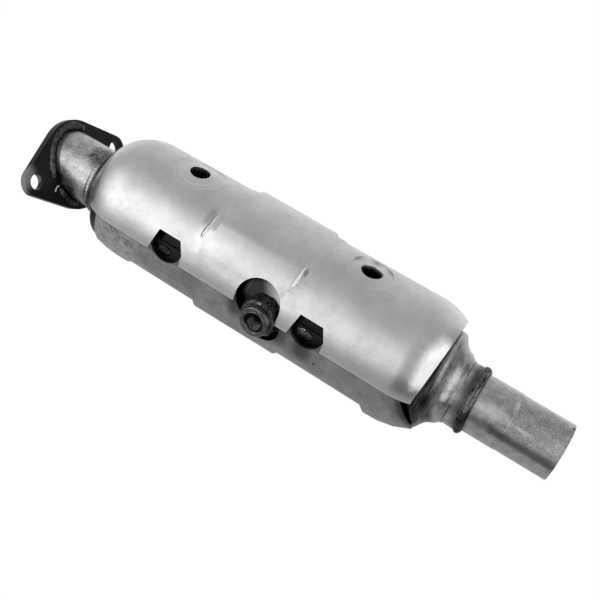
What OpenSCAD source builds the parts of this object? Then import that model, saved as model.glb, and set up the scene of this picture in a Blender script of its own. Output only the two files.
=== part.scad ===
// Direct-fit catalytic converter: a round two-brick body in a pressed two-half heat shield, with an
// oblique two-bolt flange on its inlet pipe, a plain outlet pipe and a sensor bung between the bricks.
// +X is the gas flow, +Z the crown of the upper shield, -Y the side with the sensor bung.
// The origin is where the pipe axis meets the sealing face of the inlet flange.

/* [Pipes] */
// Outside diameter of the inlet pipe
inlet_od = 63.5; // [58:0.5:66]
// Outside diameter of the outlet pipe
outlet_od = 57.15; // [50:0.05:60]
// Wall of both pipes
pipe_wall = 1.6; // [1.2:0.1:2.4]
// Length of each pipe that sits inside its neck
pipe_insert = 12; // [8:1:16]
// Free length of the outlet pipe past the end of its neck
outlet_tail = 93; // [70:0.5:140]
// Length of the outlet pipe end that is rolled to size for a clamp
sized_len = 52; // [30:1:60]
// How much larger the rest of the outlet pipe is than its sized end, on the radius
sized_step = 0.45; // [0.35:0.05:0.6]

/* [Inlet flange] */
// Thickness of the flange plate
flange_t = 6.5; // [6:0.5:12]
// Lean of the flange plate against the pipe axis, upwards
flange_tilt = 30; // [20:1:34]
// Swing of the flange plate to the sensor side
flange_swing = -3; // [-6:0.5:6]
// Distance between the two bolt holes
bolt_spacing = 117; // [112:1:130]
// Diameter of the bolt holes
bolt_hole_d = 15.5; // [10:0.5:17]
// Radius of the plate round each bolt hole
ear_r = 14.5; // [13:0.5:18]
// Radius of the middle of the plate
flange_r = 45.6; // [44:0.2:50]
// How far the end of the inlet pipe stays back from the sealing face
pipe_set_back = 1.5; // [0.5:0.5:3]

/* [Body] */
// Outside diameter of the round body
body_od = 101.6; // [98:0.2:108]
// Wall of the body
body_wall = 1.5; // [1.2:0.1:2]
// Place of the inlet end of the body along the axis
body_x = 46.5; // [45:0.5:48]
// Length of the inlet neck
front_neck_len = 5; // [4:0.5:7]
// Length of the inlet cone, from neck to shoulder
front_cone_len = 10; // [8:0.5:12]
// Length of the outlet neck
rear_neck_len = 10; // [8:0.5:14]
// Length of the outlet cone, from shoulder to neck
rear_cone_len = 17; // [14:0.5:20]
// Room from the rear brick to the outlet end of the body
rear_room = 43; // [42:0.5:52]
// Outside radius of the rolled shoulder between cone and barrel
shoulder_r = 7; // [4:0.5:9]
// Wall of the necks, where the metal gathers as they are rolled down
neck_wall = 2.4; // [2:0.1:3]

/* [Bricks and mats] */
// Room for a mat between brick and body
mat_t = 2.8; // [2:0.1:6]
// Length of each brick
brick_len = 127; // [100:1:130]
// Place of the inlet face of the front brick
front_brick_x = 91; // [88:1:98]
// Clear length between the two bricks
brick_gap = 79; // [70:1:84]
// Pitch of the cells
cell_pitch = 8; // [7.5:0.5:12]
// Wall between the cells
cell_wall = 1.4; // [1:0.1:2.5]
// Length of the swelling mat round each brick
mat_len = 106; // [80:1:108]
// Width of the knitted edge seal at each end of a mat
seal_w = 6; // [4:0.5:8]

/* [Sensor bung] */
// Place of the bung along the axis
bung_x = 267; // [264:0.5:270]
// Outside diameter of the bung
bung_d = 30.6; // [26:0.2:32]
// Height of the bung face over the pipe axis
bung_reach = 69.4; // [66:0.2:72]
// Core diameter of the thread
bung_bore_d = 16.5; // [14:0.1:17]
// Diameter of the lead-in at the mouth
bung_mouth_d = 20.2; // [19:0.1:22]
// Depth of the lead-in
bung_mouth_depth = 1.8; // [1:0.1:2.5]

/* [Upper shield] */
// Sheet of both shields
sheet_t = 1.2; // [0.8:0.1:1.6]
// Height of the upper shield's own axis over the pipe axis
shield_rise = 6.5; // [5:0.5:8]
// Height of the joint between the shields
split_z = 4; // [2:0.5:6]
// Inlet edge of the upper shield
upper_x = 54.5; // [53:0.5:56]
// Length of the upper shield over its crown
upper_len = 378; // [374:0.5:382]
// How much further the crown reaches than the joint at the outlet end
upper_lean = 7; // [0:0.5:10]
// How far the inlet end of its barrel stands off the body
front_standoff = 10; // [9.7:0.1:11.2]
// How far the outlet end of its barrel stands off the body
rear_standoff = 12.5; // [12.2:0.1:14.2]
// Radius of the sheet's edge at the inlet end
mouth_r = 40; // [39:0.5:42]
// Length of the rolled inlet end
dome_len = 42; // [38:0.5:46]
// Rolled radius of the outlet end
tail_r = 60; // [50:1:70]
// Length of the rolled outlet end
tail_len = 32; // [26:0.5:34]

/* [Raised middle] */
// Where the raised middle starts
raise_x = 186.5; // [184:0.5:188]
// Length of the raised middle on the crown
raise_len = 108; // [104:0.5:110]
// Height of the raised crown over that of the barrel
raise_h = 1.05; // [0.85:0.05:1.95]
// Radius of the flat form over the crown
raise_top_r = 82; // [76:1:90]
// How much less the radius of the narrow form at the sides is than that of the barrel
raise_side_inset = 2.45; // [2.05:0.05:3.05]
// Height of the side form's axis over the pipe axis
raise_side_rise = 15; // [14:0.5:16]
// Length of the sloping ends of the raised middle
raise_slope = 3.5; // [3:0.5:5]
// How far the crown's inlet step lies behind that of the sides
raise_lag = 8; // [4:0.5:10]
// How far the sides' outlet step lies before that of the crown
raise_side_lag = 10; // [6:0.5:12]

/* [Plug weld cups] */
// Place of the front cup along the axis
front_cup_x = 143; // [140:0.5:146]
// Distance between the two cups
cup_pitch = 191.7; // [188:0.1:194]
// Diameter of the outer dish
dish_d = 51; // [48:0.5:54]
// Diameter of the inner dish
inner_dish_d = 41; // [38:0.5:44]
// Depth of each dish step
dish_step = 0.8; // [0.5:0.1:1.2]
// Diameter of the cup mouth
cup_d = 20; // [18:0.5:22]
// Width of the flare round the cup mouth
cup_flare = 2; // [1:0.5:3]
// Diameter of the weld hole in the cup floor
plug_d = 13; // [10:0.5:14]

/* [Weld windows] */
// Place of the middle of the front window
front_window_x = 158; // [156:0.5:160]
// Distance between the two windows
window_pitch = 157; // [154:0.5:160]
// Width of a window at the joint
window_w = 36; // [32:0.5:38]
// Width of a window at its top
window_top_w = 24; // [22:0.5:28]
// Height of a window's top over the pipe axis
window_top = 28; // [24:0.5:30]
// Radius of the tab pocket that shows under a window
pocket_r = 17; // [14:0.5:18]
// Height of the pocket's middle over the pipe axis
pocket_z = 15.3; // [14:0.1:17]
// Place of the middle of the bung opening
bung_window_x = 261.5; // [260:0.5:263]
// Radius of the bung opening
bung_window_r = 23; // [21.5:0.1:24]
// Height of the middle of the bung opening over the pipe axis
bung_window_z = 15.3; // [13:0.1:17]
// Radius of the opening in the lower shield under it
bung_hole_r = 21; // [20.5:0.1:22]
// How far that opening's middle lies past the bung along the axis
bung_hole_shift = 2.5; // [1:0.5:3]
// How far that opening's middle lies under the bung's axis
bung_hole_drop = 3.5; // [2:0.5:4]

/* [Lower shield] */
// Height of the lower shield's own axis over the pipe axis
lower_rise = 5; // [4.5:0.1:5.5]
// Inlet edge of the lower shield
lower_x = 73; // [71:0.5:75]
// Length of the lower shield
lower_len = 360; // [356:0.5:361]
// How much further its rear pocket reaches than its barrel
pocket_reach = 10; // [8:0.5:11]
// How much further its outlet rim reaches below than at the joint
rim_lean = 18; // [14:0.5:20]
// How far under the joint the leaning rim has its full reach
rim_drop = 30; // [26:1:36]
// How far the lower shield reaches up inside the upper one
lap = 8; // [6:0.5:9]
// Length of the rolled inlet end of the lower shield
lower_front_roll = 28; // [26:0.5:30]
// Length of the rolled outlet end of the lower shield
lower_rear_roll = 26; // [24:0.5:28]
// Drop of the deep end pockets' axis under the pipe axis
sump_drop = 3; // [2.5:0.1:3.5]
// How much less the radius of the front end pocket is than that of the lower barrel
front_sump_inset = 4.2; // [3.4:0.1:5.4]
// How much less the radius of the rear end pocket is than that of the lower barrel
rear_sump_inset = 1.2; // [0.9:0.1:1.9]
// Length of the front end pocket
front_sump_len = 50; // [46:0.5:52]
// Length of the rear end pocket
rear_sump_len = 62; // [59:0.5:64]
// How steeply the rear pocket's floor rises towards its rim, in degrees
pocket_rise = 2.5; // [2:0.5:3]
// Length of the slope from an end pocket to the barrel
sump_slope = 16; // [12:0.5:18]
// How much less the radius of the lower shield's middle is than that of its barrel
belly_inset = 0.65; // [0.45:0.05:2.15]
// Length of the raised middle of the lower shield
belly_len = 103; // [98:0.5:106]
// Length of the sloping ends of the raised middle
belly_slope = 7; // [5:0.5:9]

/* [Welds] */
// Width of the ring welds along the pipe
ring_w = 9; // [8:0.5:10]
// Height of the inlet ring weld over its pipe
inlet_ring_h = 3; // [2.6:0.1:4]
// Height of the outlet ring weld over its pipe
outlet_ring_h = 4.2; // [4:0.1:5]
// Width of the flange weld bead
bead_w = 7; // [5:0.5:7]
// Width of the weld round the bung
bung_bead_w = 5; // [3:0.5:5.5]
// Height of that weld over the crown of the body
bung_bead_h = 3; // [2:0.5:4]
// Length of the tack weld in each window
tack_len = 16; // [10:1:20]
// Radius of the tack weld
tack_r = 3.2; // [2.5:0.1:4]

/* [Hidden] */
$fn = 96;
overrun = 1;
slip = 0.15;
lap_gap = 0.2;
arc_steps = 8;

inlet_r = inlet_od/2;
outlet_r = outlet_od/2 + sized_step;
body_r = body_od/2;
body_in_r = body_r - body_wall;
front_neck_r = inlet_r + slip + neck_wall;
rear_neck_r = outlet_r + slip + neck_wall;
neck_fillet_share = 0.09;
cone_foot_share = 0.2;
shoulder_sweep = 58;
bung_hole_d = bung_bore_d + 2*pipe_wall;
bung_saddle = body_r - sqrt(pow(body_r, 2) - pow(bung_d/2 + bung_bead_w, 2));
bead_out_share = 0.2;
bead_sector_share = 1.4;
plug_foot_share = 1.2;
plug_top_share = 0.6;
plug_rise_share = 2;

// The near face of the flange crosses the pipe axis here, so its sealing face crosses it at the origin
near_x = flange_t/(cos(flange_tilt)*cos(flange_swing));

brick_d = 2*(body_in_r - mat_t);
rear_brick_x = front_brick_x + brick_len + brick_gap;
body_end = rear_brick_x + brick_len + rear_room;
pipe_end = body_end + outlet_tail;
cell_rim = cell_wall*2;
cells = ceil(brick_d/cell_pitch/2);
mat_start = (brick_len - mat_len)/2;

// Both shields keep one sheet and a small gap over the body where they touch down on it
seat_r = body_r + lap_gap + sheet_t;

front_r = body_r + front_standoff;
rear_r = body_r + rear_standoff;
middle_r = (front_r + rear_r)/2;
raise_crown = shield_rise + middle_r + raise_h;
raise_side_r = middle_r - raise_side_inset;
upper_end = upper_x + upper_len;
dome_x = upper_x + dome_len;
tail_x = upper_end - tail_len;
dome_sweep = 72;
tail_sweep = asin(tail_len/tail_r);
crown_z = shield_rise + rear_r;
rear_cup_x = front_cup_x + cup_pitch;
rear_window_x = front_window_x + window_pitch;
dish_lean_share = 0.94;
cup_taper_share = 0.86;
cup_lip_share = 2;
window_knee_share = 0.5;

lower_end = lower_x + lower_len;
lower_barrel_end = lower_end - pocket_reach;
lower_front_r = front_r - sheet_t - lap_gap;
lower_rear_r = rear_r - sheet_t - lap_gap;
front_sump_r = lower_front_r - front_sump_inset;
rear_sump_r = lower_rear_r - rear_sump_inset;
belly_r = (lower_front_r + lower_rear_r)/2 - belly_inset;
sump_knee_share = 0.7;
sump_ramp_shares = [1/3, 2/3];
tab_lean = asin((split_z + lap)/body_r);

// Spins a profile of [radius, place] points round the X axis, or round a line a set height over it
module turned(points, rise = 0)
    translate([0, 0, rise]) rotate([0, 90, 0]) rotate_extrude() polygon(points);

// Round bar along X
module bar(r, from, to, rise = 0)
    translate([from, 0, rise]) rotate([0, 90, 0]) cylinder(r = r, h = to - from);

// Tube along X
module tube(r_out, r_in, from, to)
    difference() {
        bar(r_out, from, to);
        bar(r_in, from - overrun, to + overrun);
    }

// Puts its children in the frame of the flange: Z along the plate's normal, X along the bolt line
module on_flange()
    translate([near_x, 0, 0]) rotate([0, -flange_tilt, flange_swing]) rotate([90, 0, 90]) children();

module flange_outline()
    hull() {
        circle(r = flange_r);
        for (side = [-1, 1]) translate([side*bolt_spacing/2, 0]) circle(r = ear_r, $fn = 48);
    }

module inlet_flange()
    color("#1c1c1e") difference() {
        on_flange() translate([0, 0, -flange_t]) linear_extrude(flange_t) flange_outline();
        on_flange() for (side = [-1, 1])
            translate([side*bolt_spacing/2, 0, -flange_t - overrun])
                cylinder(d = bolt_hole_d, h = flange_t + 2*overrun);
        bar(inlet_r + slip, -inlet_od, inlet_od);
    }

// Everything on the pipe side of the sealing face, set back by a given depth
module behind_seal(depth)
    on_flange() translate([-inlet_od, -inlet_od, depth - flange_t])
        cube([2*inlet_od, 2*inlet_od, body_x + 2*inlet_od]);

module inlet_pipe()
    color("#8f8d88") intersection() {
        tube(inlet_r, inlet_r - pipe_wall, -inlet_r, body_x + pipe_insert);
        behind_seal(pipe_set_back);
    }

// Bead on the oval line where the pipe leaves the plate; from and to are angles round the plate's normal
module flange_bead(from, to)
    color("#4a4846") difference() {
        on_flange() intersection() {
            scale([1, 1/cos(flange_tilt), 1]) rotate_extrude()
                translate([inlet_r + bead_w*bead_out_share, 0]) circle(d = bead_w, $fn = 24);
            linear_extrude(bead_w) polygon(concat([[0, 0]],
                [for (i = [0:arc_steps]) let (a = from + (to - from)*i/arc_steps)
                    flange_r*bead_sector_share*[cos(a), sin(a)]]));
        }
        bar(inlet_r, -inlet_od, inlet_od);
    }

module flange_weld_long() flange_bead(52, 186);
module flange_weld_short() flange_bead(212, 262);

// Ring weld of height h on a pipe of radius r, across place x, clear of what its children fill
module ring_weld(r, x, h)
    difference() {
        turned([for (i = [0:arc_steps]) let (a = 180*i/arc_steps) [r + h*sin(a), x - ring_w*cos(a)/2]]);
        children();
    }

module inlet_weld() color("#5d5a55") ring_weld(inlet_r, body_x, inlet_ring_h) body_form();
module outlet_weld() color("#2e2b28") ring_weld(outlet_r, body_end, outlet_ring_h) body_form();

// Half profile of one end of the body, from its mouth at x to the barrel; s is 1 at the inlet and -1 at
// the outlet
function end_points(neck_r, barrel_r, round_r, neck_len, cone_len, x, s) = concat(
    [[neck_r, x], [neck_r, x + s*neck_len],
     [neck_r + (barrel_r - neck_r)*neck_fillet_share, x + s*(neck_len + cone_len*cone_foot_share)]],
    [for (i = [0:arc_steps]) let (a = shoulder_sweep*(1 - i/arc_steps))
        [barrel_r - round_r*(1 - cos(a)), x + s*(neck_len + cone_len + round_r*(1 - sin(a)))]]);

function reversed(points) = [for (i = [len(points) - 1:-1:0]) points[i]];

// The body as one bar, inset by its walls and run past both mouths for the bore
function body_points(d_neck, d_barrel, past) = concat(
    [[0, body_x - past], [front_neck_r - d_neck, body_x - past]],
    end_points(front_neck_r - d_neck, body_r - d_barrel, shoulder_r - d_barrel,
        front_neck_len, front_cone_len, body_x, 1),
    reversed(end_points(rear_neck_r - d_neck, body_r - d_barrel, shoulder_r - d_barrel,
        rear_neck_len, rear_cone_len, body_end, -1)),
    [[rear_neck_r - d_neck, body_end + past], [0, body_end + past]]);

module body_form() turned(body_points(0, 0, 0));

module on_bung() translate([bung_x, 0, 0]) rotate([90, 0, 0]) children();

module body_shell()
    color("#77736c") difference() {
        body_form();
        turned(body_points(neck_wall, body_wall, overrun));
        on_bung() cylinder(d = bung_hole_d, h = bung_reach);
    }

// Square cells inside the round skin, only whole ones
module brick(x)
    color("#d8d2c4") translate([x, 0, 0]) rotate([90, 0, 90]) linear_extrude(brick_len)
        difference() {
            circle(d = brick_d);
            for (i = [-cells:cells], j = [-cells:cells])
                if (norm([abs(i) + 0.5, abs(j) + 0.5])*cell_pitch < brick_d/2 - cell_rim)
                    translate([i, j]*cell_pitch) square(cell_pitch - cell_wall, center = true);
        }

module front_brick() brick(front_brick_x);
module rear_brick() brick(rear_brick_x);

module wrap(x, w) tube(body_in_r, brick_d/2, x, x + w);
module front_mat() color("#b9b3a4") wrap(front_brick_x + mat_start, mat_len);
module rear_mat() color("#b9b3a4") wrap(rear_brick_x + mat_start, mat_len);
module seal(x) color("#9a9a9a") wrap(x, seal_w);
module front_mat_inlet_seal() seal(front_brick_x + mat_start - seal_w);
module front_mat_outlet_seal() seal(front_brick_x + mat_start + mat_len);
module rear_mat_inlet_seal() seal(rear_brick_x + mat_start - seal_w);
module rear_mat_outlet_seal() seal(rear_brick_x + mat_start + mat_len);

module sensor_bung()
    color("#6f6c66") difference() {
        on_bung() cylinder(d = bung_d, h = bung_reach);
        bar(body_r, bung_x - bung_d, bung_x + bung_d);
        on_bung() cylinder(d = bung_bore_d, h = bung_reach + overrun);
        on_bung() translate([0, 0, bung_reach - bung_mouth_depth])
            cylinder(d1 = bung_bore_d, d2 = bung_mouth_d, h = bung_mouth_depth);
    }

// Fillet from the lowest line of the saddle up the bung
module bung_weld()
    color("#54504a") difference() {
        on_bung() translate([0, 0, body_r - bung_saddle])
            cylinder(d1 = bung_d + 2*bung_bead_w, d2 = bung_d, h = bung_saddle + bung_bead_h);
        on_bung() cylinder(d = bung_d, h = bung_reach);
        bar(body_r, bung_x - bung_d, bung_x + bung_d);
    }

// The upper shield's pressed form, inset d from its outside: an elliptic inlet dome, a slightly opening
// barrel and a rolled outlet end. The inset form runs past both ends, so the sheet stays open there.
dome_reach = dome_len/sin(dome_sweep);
dome_drop = (front_r - mouth_r)/(1 - cos(dome_sweep));
function upper_points(d) = let (past = d > 0 ? overrun : 0) concat(
    [[0, upper_x - past]],
    d > 0 ? [[front_r - dome_drop + (dome_drop - d)*cos(dome_sweep), upper_x - past]] : [],
    [for (i = [0:arc_steps]) let (a = dome_sweep*(1 - i/arc_steps))
        [front_r - dome_drop + (dome_drop - d)*cos(a), dome_x - (dome_reach - d)*sin(a)]],
    [for (i = [0:arc_steps]) let (a = tail_sweep*i/arc_steps)
        [rear_r - tail_r + (tail_r - d)*cos(a), tail_x + (tail_r - d)*sin(a)]],
    d > 0 ? [[rear_r - tail_r + (tail_r - d)*cos(tail_sweep), upper_end + past]] : [],
    [[0, upper_end + past]]);

// A round form with sloping ends, whose full radius starts and ends a lag further in
module raised(r, rise, len, slope, lag_in, lag_out, d)
    turned([[0, raise_x + d], [r - slope - d, raise_x + d], [r - slope - d, raise_x + lag_in + d],
            [r - d, raise_x + lag_in + slope + d], [r - d, raise_x + len - lag_out - slope - d],
            [r - slope - d, raise_x + len - lag_out - d], [r - slope - d, raise_x + len - d],
            [0, raise_x + len - d]], rise);

// One step of a dish: its floor follows the barrel, a depth under it
module dish(x, dish_r, depth, d)
    difference() {
        translate([x, 0, 0])
            cylinder(r1 = dish_r*dish_lean_share + d, r2 = dish_r + d, h = crown_z + overrun);
        turned(upper_points(depth + d), shield_rise);
    }

// The cup that the plug weld sits in, with its flare
module cup(x, d)
    translate([x, 0, 0]) rotate_extrude()
        polygon([[0, seat_r - d], [cup_d/2*cup_taper_share + d, seat_r - d],
                 [cup_d/2 + d, crown_z - cup_flare*cup_lip_share - d], [cup_d/2 + cup_flare + d, crown_z + d],
                 [cup_d/2 + cup_flare + d, crown_z + 2*overrun + d], [0, crown_z + 2*overrun + d]]);

module upper_form(d)
    difference() {
        union() {
            turned(upper_points(d), shield_rise);
            intersection() {
                raised(raise_top_r, raise_crown - raise_top_r, raise_len, raise_slope, raise_lag, 0, d);
                raised(raise_side_r, raise_side_rise, raise_len, raise_slope, 0, raise_side_lag, d);
            }
        }
        for (x = [front_cup_x, rear_cup_x]) {
            dish(x, dish_d/2, dish_step, d);
            dish(x, inner_dish_d/2, 2*dish_step, d);
            cup(x, d);
        }
    }

// Outline of a weld window, in X and Z
module window_outline(x)
    polygon([[x - window_w/2, split_z - overrun], [x + window_w/2, split_z - overrun],
             [x + window_w/2, split_z + (window_top - split_z)*window_knee_share],
             [x + window_top_w/2, window_top], [x - window_top_w/2, window_top]]);

// Runs an outline in X and Z out through one side of the shields, -Y for side 1
module through(side) rotate([90, 0, 0]) translate([0, 0, side > 0 ? 0 : -rear_r*2])
    linear_extrude(rear_r*2) children();

// What lies past the leaning outlet edge of the upper shield
module past_upper_end()
    translate([upper_end - upper_lean, 0, split_z])
        rotate([0, atan(upper_lean/(crown_z - split_z)), 0])
            translate([0, -rear_r - overrun, -rear_r]) cube([rear_r, 2*(rear_r + overrun), rear_r*3]);

module upper_shield()
    color("#c9cacb") difference() {
        upper_form(0);
        upper_form(sheet_t);
        translate([upper_x - overrun, -rear_r - overrun, -rear_r*2])
            cube([upper_len + 2*overrun, 2*(rear_r + overrun), rear_r*2 + split_z]);
        past_upper_end();
        for (x = [front_window_x, rear_window_x], side = [1, -1]) through(side) window_outline(x);
        through(1) translate([bung_window_x, bung_window_z]) circle(r = bung_window_r);
        through(1) translate([bung_window_x - bung_window_r, split_z - overrun])
            square([bung_window_r*2, bung_window_z - split_z + overrun]);
        for (x = [front_cup_x, rear_cup_x]) translate([x, 0, 0]) cylinder(d = plug_d, h = crown_z);
    }

// The lower shield's pressed form: a barrel with mouths rolled in to the body
function lower_points(d) = let (past = d > 0 ? overrun : 0, rim = seat_r) concat(
    [[0, lower_x - past], [rim - d, lower_x - past]],
    [for (i = [0:arc_steps]) let (a = 90*i/arc_steps)
        [rim + (lower_front_r - rim)*sin(a) - d, lower_x + lower_front_roll*(1 - cos(a))]],
    [for (i = [0:arc_steps]) let (a = 90*(1 - i/arc_steps))
        [rim + (lower_rear_r - rim)*sin(a) - d, lower_barrel_end - lower_rear_roll*(1 - cos(a))]],
    [[rim - d, lower_barrel_end + past], [0, lower_barrel_end + past]]);

// Deep pocket at one end, from its rim at x inwards; s is 1 at the inlet, -1 at the outlet
module sump(r, x, len, s, d)
    let (flat = s*(len - sump_slope), knee_r = seat_r + (r - seat_r)*sump_knee_share,
         past = s*(d > 0 ? overrun : 0))
        turned([[0, x - past], [seat_r - d, x - past], [seat_r - d, x],
                [knee_r - d, x + flat*sump_ramp_shares[0]], [r - d, x + flat*sump_ramp_shares[1]],
                [r - d, x + flat], [seat_r - sump_drop - d, x + s*len],
                [0, x + s*len]], -sump_drop);

module belly(d)
    translate([(raise_len - belly_len)/2, 0, 0]) raised(belly_r, 0, belly_len, belly_slope, 0, 0, d);

// Round pocket at the joint whose floor lies on the body as a welding tab
module tab_pocket(x, side, d)
    difference() {
        translate([x, 0, pocket_z]) rotate([side*90, 0, 0]) cylinder(r = pocket_r + d, h = 2*rear_r);
        bar(seat_r - d, x - 2*pocket_r, x + 2*pocket_r);
    }

module lower_form(d)
    difference() {
        union() {
            turned(lower_points(d), lower_rise);
            sump(front_sump_r, lower_x, front_sump_len, 1, d);
            translate([lower_end - rear_sump_len, 0, 0]) rotate([0, -pocket_rise, 0])
                sump(rear_sump_r, rear_sump_len, rear_sump_len, -1, d);
            belly(d);
        }
        for (x = [front_window_x, rear_window_x], side = [1, -1]) tab_pocket(x, side, d);
    }

// What lies past the leaning outlet rim of the lower shield
module past_lower_end()
    translate([lower_end, 0, split_z - rim_drop]) rotate([0, -atan(rim_lean/rim_drop), 0])
        translate([0, -rear_r - overrun, 0]) cube([rear_r, 2*(rear_r + overrun), rear_r*2]);

module lower_shield()
    color("#6a6a6b") difference() {
        lower_form(0);
        lower_form(sheet_t);
        past_lower_end();
        translate([lower_x - overrun, -rear_r - overrun, split_z + lap])
            cube([lower_len + 2*overrun, 2*(rear_r + overrun), rear_r*2]);
        through(1) translate([bung_window_x, bung_window_z]) circle(r = bung_window_r);
        through(1) translate([bung_x + bung_hole_shift, -bung_hole_drop]) {
            circle(r = bung_hole_r);
            translate([-bung_hole_r, 0]) square(2*bung_hole_r);
        }
    }

module plug_weld(x)
    color("#1a1715") difference() {
        translate([x, 0, 0]) {
            cylinder(d = plug_d, h = seat_r);
            translate([0, 0, seat_r])
                cylinder(d1 = plug_d*plug_foot_share, d2 = plug_d*plug_top_share,
                    h = sheet_t*plug_rise_share);
        }
        bar(body_r, x - plug_d, x + plug_d);
    }
module front_plug_weld() plug_weld(front_cup_x);
module rear_plug_weld() plug_weld(rear_cup_x);

// Tack weld along the top edge of a tab, lying on the body
module tack(x, side)
    color("#4c4843") difference() {
        translate([x - tack_len/2, -side*body_r*cos(tab_lean), body_r*sin(tab_lean)]) rotate([0, 90, 0])
            cylinder(r = tack_r, h = tack_len, $fn = 32);
        bar(body_r, x - tack_len, x + tack_len);
        translate([x - tack_len, -rear_r, -rear_r]) cube([2*tack_len, 2*rear_r, rear_r + split_z + lap]);
    }

module near_front_tack() tack(front_window_x, 1);
module near_rear_tack() tack(rear_window_x, 1);
module far_front_tack() tack(front_window_x, -1);
module far_rear_tack() tack(rear_window_x, -1);

// The end that a clamp grips is rolled down to the pipe's nominal diameter
module outlet_pipe()
    color("#96938d") difference() {
        union() {
            bar(outlet_r, body_end - pipe_insert, pipe_end - sized_len);
            bar(outlet_r - sized_step, body_end, pipe_end);
        }
        bar(outlet_r - sized_step - pipe_wall, body_end - pipe_insert - overrun, pipe_end + overrun);
    }

inlet_flange();
inlet_pipe();
flange_weld_long();
flange_weld_short();
inlet_weld();
body_shell();
front_brick();
rear_brick();
front_mat();
rear_mat();
front_mat_inlet_seal();
front_mat_outlet_seal();
rear_mat_inlet_seal();
rear_mat_outlet_seal();
sensor_bung();
bung_weld();
upper_shield();
lower_shield();
front_plug_weld();
rear_plug_weld();
near_front_tack();
near_rear_tack();
far_front_tack();
far_rear_tack();
outlet_weld();
outlet_pipe();
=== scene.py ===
import math

import bmesh
import bpy
from mathutils import Matrix, Vector, noise


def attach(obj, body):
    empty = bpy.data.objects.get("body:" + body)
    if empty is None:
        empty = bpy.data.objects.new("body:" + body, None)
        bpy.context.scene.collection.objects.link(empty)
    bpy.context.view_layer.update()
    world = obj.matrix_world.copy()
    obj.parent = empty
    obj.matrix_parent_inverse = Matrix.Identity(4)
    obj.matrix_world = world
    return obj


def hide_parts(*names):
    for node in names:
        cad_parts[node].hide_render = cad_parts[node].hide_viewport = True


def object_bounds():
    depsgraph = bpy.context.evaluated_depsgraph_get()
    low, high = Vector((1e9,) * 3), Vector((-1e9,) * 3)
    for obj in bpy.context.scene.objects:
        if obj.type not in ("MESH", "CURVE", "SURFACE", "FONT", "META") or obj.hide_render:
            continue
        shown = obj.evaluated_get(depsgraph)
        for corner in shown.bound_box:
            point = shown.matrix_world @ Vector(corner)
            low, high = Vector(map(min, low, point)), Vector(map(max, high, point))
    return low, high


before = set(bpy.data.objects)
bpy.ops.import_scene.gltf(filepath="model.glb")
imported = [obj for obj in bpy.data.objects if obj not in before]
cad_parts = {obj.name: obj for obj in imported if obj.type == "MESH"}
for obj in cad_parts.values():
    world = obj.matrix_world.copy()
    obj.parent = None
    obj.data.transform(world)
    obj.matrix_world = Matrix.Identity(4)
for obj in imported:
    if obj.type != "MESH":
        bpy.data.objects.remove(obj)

cad_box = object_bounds()

# Sizes in metres, the same as in the part's own source
MM = 0.001
INLET_R = 31.75*MM
OUTLET_R = 29.025*MM
SIZED_R = 28.575*MM
SIZED_X = 508*MM
PIPE_WALL = 1.6*MM
PIPE_END = 560*MM
PIPE_START = 455*MM
BODY_R = 50.8*MM
SEAT_R = 52.2*MM
TACK_Z = 4.4*MM
FLANGE_TILT = math.radians(30)
FLANGE_SWING = math.radians(-3)
FLANGE_NEAR_X = 7.516*MM
BUNG_X = 267*MM
BUNG_R = 15.3*MM
BUNG_REACH = 69.4*MM
THREAD_CORE_R = 8.25*MM
THREAD_R = 9*MM
THREAD_PITCH = 1.5*MM
RIM_NORMAL = (0.857, 0, 0.515)
RIM_PLACE = 357.7
CUP_PLACES = (143*MM, 334.7*MM)
WINDOW_MARKS = [(x, side) for x in (158, 315) for side in (-1, 1)]
FRONT_TACK_X = 152.5*MM
REAR_TACK_X = 310*MM
INLET_WELD_X = 45.5*MM
OUTLET_WELD_X = 468*MM
SHIELD_RISE = 6.5*MM
SHIELD_TOP_Z = 30*MM
FORM_R = (60.8*MM, 63.3*MM)
DISH_R = 25.7*MM
DISH_DEPTH = 1.8*MM
DISH_MERGE = 0.06*MM
DART_PLACE = (284.4*MM, -43.5*MM, 51.4*MM)
DART_LEN = 23*MM
DART_HALF = 2.2*MM
DART_RISE = 1.5*MM
DART_LEAN = math.radians(45)
CONE_START = 434*MM
CONE_END = 452*MM
CONE_CUTS = 14
CONE_HOLLOW = 3.2*MM
NECK_FLARE = 0.7*MM
NECK_FLARE_LEN = 8*MM
MERGE = 0.005*MM
FLOOR_X = 0.27
FLOOR_DROP = 0.2*MM
FLOOR_HALF = 8
STUDIO_R = 12
PHOTO_ROLL = math.radians(30.84)
PHOTO_YAW = math.radians(12.40)
PHOTO_RISE = math.radians(36.84)
PHOTO_LENS = 56.1
PHOTO_PLACE = (0.475316, -0.7065, 0.5267)


# Node helpers

def new_material(name):
    material = bpy.data.materials.new(name)
    material.use_nodes = True
    tree = material.node_tree
    shader = tree.nodes["Principled BSDF"]
    place = tree.nodes.new("ShaderNodeTexCoord").outputs["Object"]
    return material, tree, shader, place


def fill(tree, socket, value):
    """Sets a socket to another node's output, a colour or a number, which a colour takes as a grey."""
    if isinstance(value, bpy.types.NodeSocket):
        tree.links.new(value, socket)
    elif socket.type == "RGBA":
        tone = value if isinstance(value, tuple) else (value, value, value)
        socket.default_value = (*tone, 1)
    else:
        socket.default_value = value


def stretched(tree, place, scale):
    """The places on the object, drawn out or squeezed along its axes."""
    node = tree.nodes.new("ShaderNodeMapping")
    tree.links.new(place, node.inputs["Vector"])
    node.inputs["Scale"].default_value = scale
    return node.outputs["Vector"]


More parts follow.
